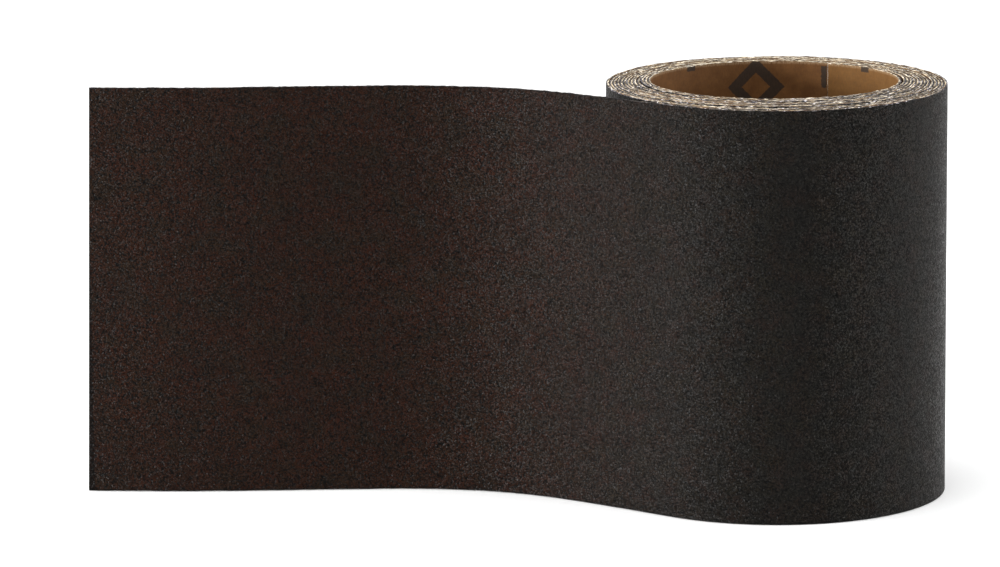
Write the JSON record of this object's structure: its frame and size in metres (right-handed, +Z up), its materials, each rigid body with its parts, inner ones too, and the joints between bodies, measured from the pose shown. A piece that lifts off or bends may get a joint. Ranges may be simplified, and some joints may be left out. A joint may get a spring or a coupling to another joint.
{
  "type": "abrasive paper roll",
  "caption": "Coreless roll of coarse abrasive paper standing on its cut edge, kraft backing inside, dark grit outside, with its outer end unrolled and able to wind up or swing open.",
  "frame": {"origin": "on the plane the roll stands on, under the middle of the bounding box; the roll's axis is vertical at X = +0.073, Y = 0", "axes": "+Z up along the roll's axis, +X from the unrolled end towards the roll, +Y away from the grit face of the unrolled end"},
  "size_m": [0.241, 0.0952, 0.1157],
  "materials": {
    "backing": "matte",
    "grit": "matte"
  },
  "bodies": {
    "coil": {"coil_inner_turn_backing": "backing", "coil_inner_turn_grit": "grit", "coil_middle_turns_backing": "backing", "coil_middle_turns_grit": "grit", "coil_outer_turn_backing": "backing", "coil_outer_turn_grit": "grit"},
    "tail_01": {"tail_01_backing": "backing", "tail_01_grit": "grit"},
    "tail_02": {"tail_02_backing": "backing", "tail_02_grit": "grit"},
    "tail_03": {"tail_03_backing": "backing", "tail_03_grit": "grit"},
    "tail_04": {"tail_04_backing": "backing", "tail_04_grit": "grit"},
    "tail_05": {"tail_05_backing": "backing", "tail_05_grit": "grit"},
    "tail_06": {"tail_06_backing": "backing", "tail_06_grit": "grit"},
    "tail_07": {"tail_07_backing": "backing", "tail_07_grit": "grit"},
    "tail_08": {"tail_08_backing": "backing", "tail_08_grit": "grit"},
    "tail_09": {"tail_09_backing": "backing", "tail_09_grit": "grit"},
    "tail_10": {"tail_10_backing": "backing", "tail_10_grit": "grit"},
    "inner_end_1": {"inner_end_1_backing": "backing", "inner_end_1_grit": "grit"},
    "inner_end_2": {"inner_end_2_backing": "backing", "inner_end_2_grit": "grit"}
  },
  "joints": [
    {"name": "tail_curl_01", "type": "hinge", "parent": "coil", "child": "tail_01", "pos_m": [0.04286, -0.03675, 0.0575], "axis": [0, 0, -1], "range_deg": [-2.39, 6.78]},
    {"name": "tail_curl_02", "type": "hinge", "parent": "tail_01", "child": "tail_02", "pos_m": [0.02932, -0.02603, 0.0575], "axis": [0, 0, -1], "range_deg": [-9, 25.57]},
    {"name": "tail_curl_03", "type": "hinge", "parent": "tail_02", "child": "tail_03", "pos_m": [0.01553, -0.01562, 0.0575], "axis": [0, 0, -1], "range_deg": [-9.72, 27.62]},
    {"name": "tail_curl_04", "type": "hinge", "parent": "tail_03", "child": "tail_04", "pos_m": [0.00057, -0.00703, 0.0575], "axis": [0, 0, -1], "range_deg": [-11.43, 32.47]},
    {"name": "tail_curl_05", "type": "hinge", "parent": "tail_04", "child": "tail_05", "pos_m": [-0.01585, -0.00178, 0.0575], "axis": [0, 0, -1], "range_deg": [-11.31, 32.13]},
    {"name": "tail_curl_06", "type": "hinge", "parent": "tail_05", "child": "tail_06", "pos_m": [-0.03301, -0.00001, 0.0575], "axis": [0, 0, -1], "range_deg": [-9.41, 26.74]},
    {"name": "tail_curl_07", "type": "hinge", "parent": "tail_06", "child": "tail_07", "pos_m": [-0.05028, -0.00021, 0.0575], "axis": [0, 0, -1], "range_deg": [-7.61, 21.61]},
    {"name": "tail_curl_08", "type": "hinge", "parent": "tail_07", "child": "tail_08", "pos_m": [-0.06754, -0.00084, 0.0575], "axis": [0, 0, -1], "range_deg": [-6.81, 19.36]},
    {"name": "tail_curl_09", "type": "hinge", "parent": "tail_08", "child": "tail_09", "pos_m": [-0.08481, -0.00123, 0.0575], "axis": [0, 0, -1], "range_deg": [-6.15, 17.47]},
    {"name": "tail_curl_10", "type": "hinge", "parent": "tail_09", "child": "tail_10", "pos_m": [-0.10208, -0.00081, 0.0575], "axis": [0, 0, -1], "range_deg": [-6.19, 17.57]},
    {"name": "inner_end_lift_1", "type": "hinge", "parent": "coil", "child": "inner_end_1", "pos_m": [0.10608, 0.00919, 0.0575], "axis": [0, 0, 1], "range_deg": [0, 25]},
    {"name": "inner_end_lift_2", "type": "hinge", "parent": "inner_end_1", "child": "inner_end_2", "pos_m": [0.0992, 0.02162, 0.0575], "axis": [0, 0, 1], "range_deg": [0, 25]}
  ],
  "couplings": [
    {"joint": "tail_curl_01", "follows": "tail_curl_02", "ratio": 0.2653},
    {"joint": "tail_curl_03", "follows": "tail_curl_02", "ratio": 1.0802},
    {"joint": "tail_curl_04", "follows": "tail_curl_02", "ratio": 1.2699},
    {"joint": "tail_curl_05", "follows": "tail_curl_02", "ratio": 1.2564},
    {"joint": "tail_curl_06", "follows": "tail_curl_02", "ratio": 1.0459},
    {"joint": "tail_curl_07", "follows": "tail_curl_02", "ratio": 0.8451},
    {"joint": "tail_curl_08", "follows": "tail_curl_02", "ratio": 0.7571},
    {"joint": "tail_curl_09", "follows": "tail_curl_02", "ratio": 0.6833},
    {"joint": "tail_curl_10", "follows": "tail_curl_02", "ratio": 0.6873},
    {"joint": "inner_end_lift_2", "follows": "inner_end_lift_1", "ratio": 1}
  ]
}
